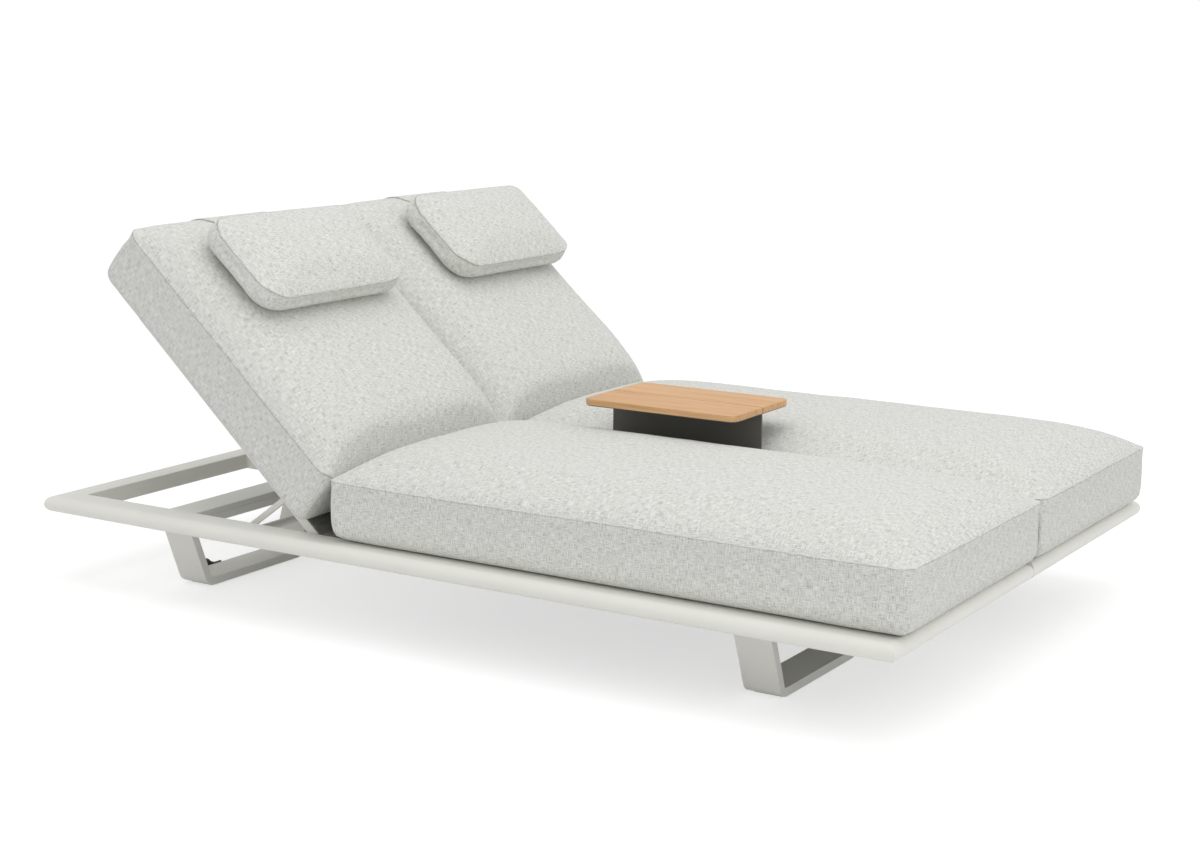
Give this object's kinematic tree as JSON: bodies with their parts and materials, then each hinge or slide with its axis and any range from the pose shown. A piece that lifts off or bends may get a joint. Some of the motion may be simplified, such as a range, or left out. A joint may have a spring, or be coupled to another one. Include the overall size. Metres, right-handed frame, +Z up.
{
  "type": "double chaise lounger",
  "caption": "Two low chaise loungers joined side by side, with adjustable backrests, boxed cushions, head pillows and a shared sliding tray",
  "frame": {"origin": "on the ground, under the middle of the two frames", "axes": "+X from the head to the foot, +Y from the near lounger to the far one, +Z up"},
  "size_m": [2.08, 1.341, 0.8476],
  "materials": {
    "frame_coat": "fine-textured powder coat, light warm grey",
    "dark_coat": "fine-textured powder coat, anthracite",
    "bare_aluminium": "mill finish",
    "steel": "brushed",
    "black_plastic": "matte",
    "dark_textile": "tight woven outdoor mesh",
    "cushion_weave": "melange slub weave, off-white to light grey",
    "teak": "oiled teak, straight grain"
  },
  "bodies": {
    "frame": {"near_outer_rail": "frame_coat", "near_inner_rail": "frame_coat", "near_head_rail": "frame_coat", "near_foot_rail": "frame_coat", "far_outer_rail": "frame_coat", "far_inner_rail": "frame_coat", "far_head_rail": "frame_coat", "far_foot_rail": "frame_coat", "corner_keys": "bare_aluminium", "near_rear_crossbar": "frame_coat", "near_front_crossbar": "frame_coat", "far_rear_crossbar": "frame_coat", "far_front_crossbar": "frame_coat", "near_rear_leg": "frame_coat", "near_front_leg": "frame_coat", "far_rear_leg": "frame_coat", "far_front_leg": "frame_coat", "leg_ties": "frame_coat", "glides": "black_plastic", "leg_screws": "steel", "link_plates": "frame_coat", "link_screws": "steel", "wheel_axles": "steel", "wheel_brackets": "dark_coat", "hinge_bushes": "black_plastic", "bail_racks": "frame_coat", "rack_screws": "steel", "seat_ledges": "frame_coat", "seat_bars": "frame_coat", "near_seat_deck": "dark_textile", "far_seat_deck": "dark_textile", "near_seat_cushion": "cushion_weave", "far_seat_cushion": "cushion_weave"},
    "near_backrest": {"near_hinge_pins": "steel", "near_back_side_bars": "frame_coat", "near_back_cross_bars": "frame_coat", "near_back_deck": "dark_textile", "near_back_cushion": "cushion_weave", "near_pillow_strap": "cushion_weave", "near_bail_pins": "steel"},
    "near_bail": {"near_bail": "frame_coat"},
    "near_headrest": {"near_pillow": "cushion_weave"},
    "near_wheel": {"near_wheel": "black_plastic"},
    "far_backrest": {"far_hinge_pins": "steel", "far_back_side_bars": "frame_coat", "far_back_cross_bars": "frame_coat", "far_back_deck": "dark_textile", "far_back_cushion": "cushion_weave", "far_pillow_strap": "cushion_weave", "far_bail_pins": "steel"},
    "far_bail": {"far_bail": "frame_coat"},
    "far_headrest": {"far_pillow": "cushion_weave"},
    "far_wheel": {"far_wheel": "black_plastic"},
    "tray": {"tray_near_board": "teak", "tray_far_board": "teak", "tray_near_plate": "dark_coat", "tray_far_plate": "dark_coat", "tray_screws": "steel"}
  },
  "joints": [
    {"name": "near_backrest_hinge", "type": "hinge", "parent": "frame", "child": "near_backrest", "pos_m": [-0.309, -0.3355, 0.19], "axis": [0, 1, 0], "range_deg": [-42, 0]},
    {"name": "near_bail_hinge", "type": "hinge", "parent": "near_backrest", "child": "near_bail", "pos_m": [-0.39892, -0.3355, 0.27096], "axis": [0, 1, 0], "range_deg": [0, 69]},
    {"name": "near_headrest_slide", "type": "slide", "parent": "near_backrest", "child": "near_headrest", "axis": [-0.7431, 0, 0.6691], "range_m": [0, 0.08]},
    {"name": "near_wheel_spin", "type": "hinge", "parent": "frame", "child": "near_wheel", "pos_m": [-0.808, -0.40945, 0.017], "axis": [0, 1, 0], "continuous": true},
    {"name": "far_backrest_hinge", "type": "hinge", "parent": "frame", "child": "far_backrest", "pos_m": [-0.309, 0.3355, 0.19], "axis": [0, 1, 0], "range_deg": [-42, 0]},
    {"name": "far_bail_hinge", "type": "hinge", "parent": "far_backrest", "child": "far_bail", "pos_m": [-0.39892, 0.3355, 0.27096], "axis": [0, 1, 0], "range_deg": [0, 69]},
    {"name": "far_headrest_slide", "type": "slide", "parent": "far_backrest", "child": "far_headrest", "axis": [-0.7431, 0, 0.6691], "range_m": [0, 0.08]},
    {"name": "far_wheel_spin", "type": "hinge", "parent": "frame", "child": "far_wheel", "pos_m": [-0.808, 0.40945, 0.017], "axis": [0, 1, 0], "continuous": true},
    {"name": "tray_slide", "type": "slide", "parent": "frame", "child": "tray", "axis": [1, 0, 0], "range_m": [-0.18, 0.55]}
  ],
  "couplings": [
    {"joint": "near_bail_hinge", "follows": "near_backrest_hinge", "ratio": -1.6293},
    {"joint": "far_bail_hinge", "follows": "far_backrest_hinge", "ratio": -1.6293}
  ]
}
